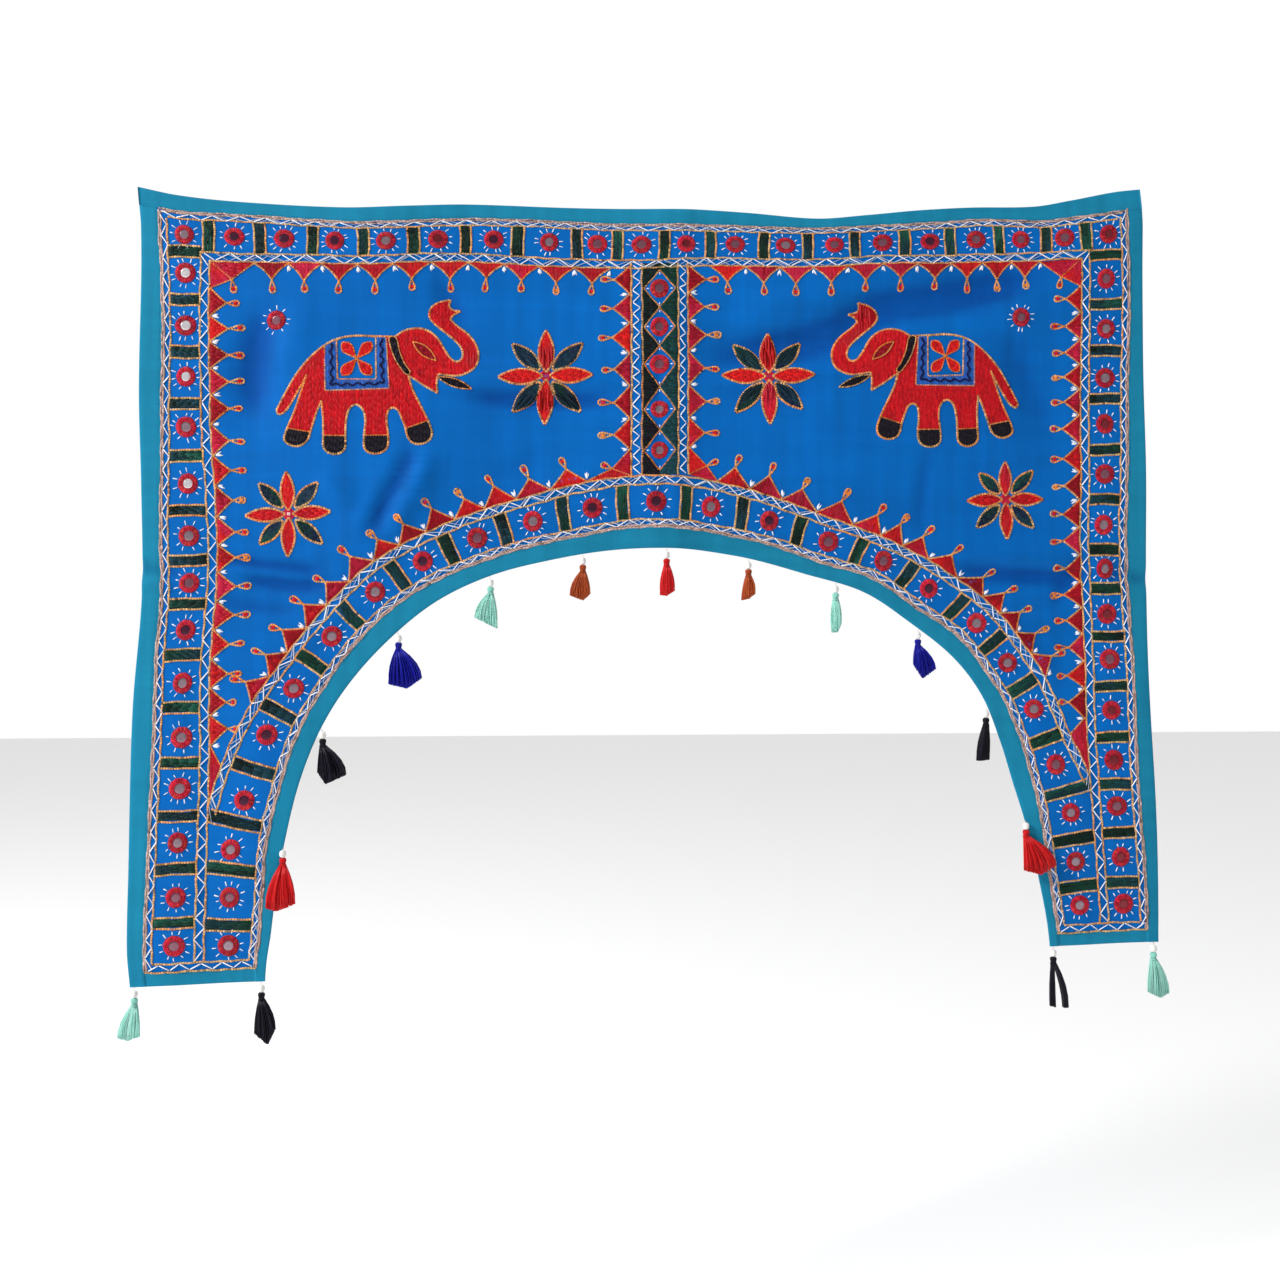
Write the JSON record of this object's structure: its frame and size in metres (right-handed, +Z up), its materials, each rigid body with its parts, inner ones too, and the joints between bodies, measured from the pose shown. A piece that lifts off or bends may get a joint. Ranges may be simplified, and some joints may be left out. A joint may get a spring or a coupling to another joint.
{
  "type": "embroidered wall hanging",
  "caption": "Blue cotton door hanging with a deep arch between two legs, teal edge strips, couched gold outlines, mirror work, red elephants and flowers, and tied tassels under the lower edge.",
  "frame": {"origin": "middle of the top edge, where the hanging is held", "axes": "+Z up, +X to the right along the top edge seen from the front, the embroidered front faces -Y"},
  "size_m": [1.4723, 0.0315, 1.2],
  "materials": {
    "ground": "matt plain-woven cotton",
    "strip": "matt plain-woven cotton, folded and sewn",
    "mirror_work": "small round mirror in a ring of crimson buttonhole stitch",
    "bead": "gloss white",
    "tassel_mint": "silky thread",
    "tassel_black": "silky thread",
    "tassel_red": "silky thread",
    "tassel_royal": "silky thread",
    "tassel_rust": "silky thread"
  },
  "bodies": {
    "root": {"panel": "ground", "border_top": "strip", "border_left": "strip", "border_right": "strip", "border_arch": "strip", "hem_left_leg": "strip", "hem_right_leg": "strip", "mirror_top_01": "mirror_work", "mirror_top_02": "mirror_work", "mirror_top_03": "mirror_work", "mirror_top_04": "mirror_work", "mirror_top_05": "mirror_work", "mirror_top_06": "mirror_work", "mirror_top_07": "mirror_work", "mirror_top_08": "mirror_work", "mirror_top_09": "mirror_work", "mirror_top_10": "mirror_work", "mirror_top_11": "mirror_work", "mirror_top_12": "mirror_work", "mirror_top_13": "mirror_work", "mirror_top_14": "mirror_work", "mirror_top_15": "mirror_work", "mirror_top_16": "mirror_work", "mirror_top_17": "mirror_work", "mirror_top_18": "mirror_work", "mirror_top_19": "mirror_work", "mirror_top_20": "mirror_work", "mirror_lone_1": "mirror_work", "mirror_lone_2": "mirror_work", "bead_01": "bead", "tassel_01": "tassel_mint", "bead_02": "bead", "tassel_02": "tassel_black", "bead_03": "bead", "tassel_03": "tassel_red", "bead_04": "bead", "tassel_04": "tassel_black", "bead_05": "bead", "tassel_05": "tassel_royal", "bead_06": "bead", "tassel_06": "tassel_mint", "bead_07": "bead", "tassel_07": "tassel_rust", "bead_08": "bead", "tassel_08": "tassel_red", "bead_09": "bead", "tassel_09": "tassel_rust", "bead_10": "bead", "tassel_10": "tassel_mint", "bead_11": "bead", "tassel_11": "tassel_royal", "bead_12": "bead", "tassel_12": "tassel_black", "bead_13": "bead", "tassel_13": "tassel_red", "bead_14": "bead", "tassel_14": "tassel_black", "bead_15": "bead", "tassel_15": "tassel_mint"}
  },
  "joints": []
}
